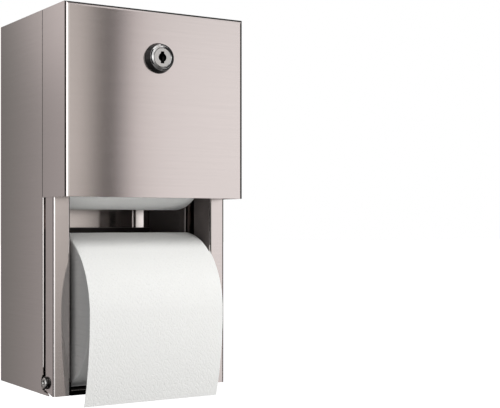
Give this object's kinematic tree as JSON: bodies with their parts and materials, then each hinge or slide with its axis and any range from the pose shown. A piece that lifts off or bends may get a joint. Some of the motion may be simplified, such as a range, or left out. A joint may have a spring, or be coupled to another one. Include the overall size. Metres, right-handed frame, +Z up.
{
  "type": "toilet roll dispenser",
  "caption": "Wall-hung satin steel cabinet that stores one toilet roll above another, with a locked door and roll frame that tilt forward together for refilling.",
  "frame": {"origin": "middle of the cabinet's back, on the face that lies on the wall", "axes": "+X to the right as seen from the front, +Y back into the wall, +Z up"},
  "size_m": [0.1562, 0.1434, 0.3032],
  "materials": {
    "satin_steel": "satin brushed stainless steel sheet",
    "bright_steel": "bright stainless steel",
    "chrome": "polished chrome plate",
    "plated_steel": "dull zinc-plated steel",
    "black_plastic": "black moulded plastic",
    "nylon": "natural nylon",
    "tissue_paper": "white embossed tissue paper",
    "core_card": "raw brown card"
  },
  "bodies": {
    "cabinet": {"cabinet_back": "satin_steel", "cabinet_bottom": "satin_steel", "cabinet_left_side": "satin_steel", "cabinet_right_side": "satin_steel", "cabinet_top": "satin_steel", "latch_keeper": "plated_steel", "left_pivot_bracket": "plated_steel", "right_pivot_bracket": "plated_steel", "left_pivot_rivet": "bright_steel", "right_pivot_rivet": "bright_steel", "left_pivot_washer": "nylon", "right_pivot_washer": "nylon"},
    "roll_frame": {"door_shell": "satin_steel", "frame_bottom_bar": "satin_steel", "left_side_frame": "satin_steel", "right_side_frame": "satin_steel", "lock_housing": "chrome", "lock_nut": "plated_steel", "left_gate_pin": "bright_steel", "right_gate_pin": "bright_steel", "left_gate_stop": "bright_steel", "right_gate_stop": "bright_steel"},
    "lock": {"lock_plug": "chrome", "lock_cam": "plated_steel", "cam_nut": "plated_steel"},
    "lower_axle": {"lower_spindle": "black_plastic", "paper_tail": "tissue_paper"},
    "lower_roll": {"lower_roll_core": "core_card", "lower_roll_paper": "tissue_paper"},
    "reserve_axle": {"reserve_spindle": "black_plastic"},
    "reserve_roll": {"reserve_roll_core": "core_card", "reserve_roll_paper": "tissue_paper"},
    "left_gate": {"left_gate": "plated_steel"},
    "right_gate": {"right_gate": "plated_steel"}
  },
  "joints": [
    {"name": "frame_tilt", "type": "hinge", "parent": "cabinet", "child": "roll_frame", "pos_m": [0, -0.0963, -0.1387], "axis": [1, 0, 0], "range_deg": [0, 90]},
    {"name": "lock_turn", "type": "hinge", "parent": "roll_frame", "child": "lock", "pos_m": [0, -0.1368, 0.111], "axis": [0, 1, 0], "range_deg": [-90, 0]},
    {"name": "lower_axle_lift", "type": "slide", "parent": "roll_frame", "child": "lower_axle", "axis": [0, 0, 1], "range_m": [0, 0.017]},
    {"name": "lower_roll_spin", "type": "hinge", "parent": "lower_axle", "child": "lower_roll", "pos_m": [0, -0.0757, -0.08475], "axis": [1, 0, 0], "continuous": true},
    {"name": "reserve_axle_lift", "type": "slide", "parent": "roll_frame", "child": "reserve_axle", "axis": [0, 0, 1], "range_m": [0, 0.0006]},
    {"name": "reserve_roll_spin", "type": "hinge", "parent": "reserve_axle", "child": "reserve_roll", "pos_m": [0, -0.06325, 0.05575], "axis": [1, 0, 0], "continuous": true},
    {"name": "left_gate_swing", "type": "hinge", "parent": "roll_frame", "child": "left_gate", "pos_m": [-0.0641, -0.07285, 0.07795], "axis": [-1, 0, 0], "range_deg": [0, 60]},
    {"name": "right_gate_swing", "type": "hinge", "parent": "roll_frame", "child": "right_gate", "pos_m": [0.0641, -0.07285, 0.07795], "axis": [-1, 0, 0], "range_deg": [0, 60]}
  ]
}
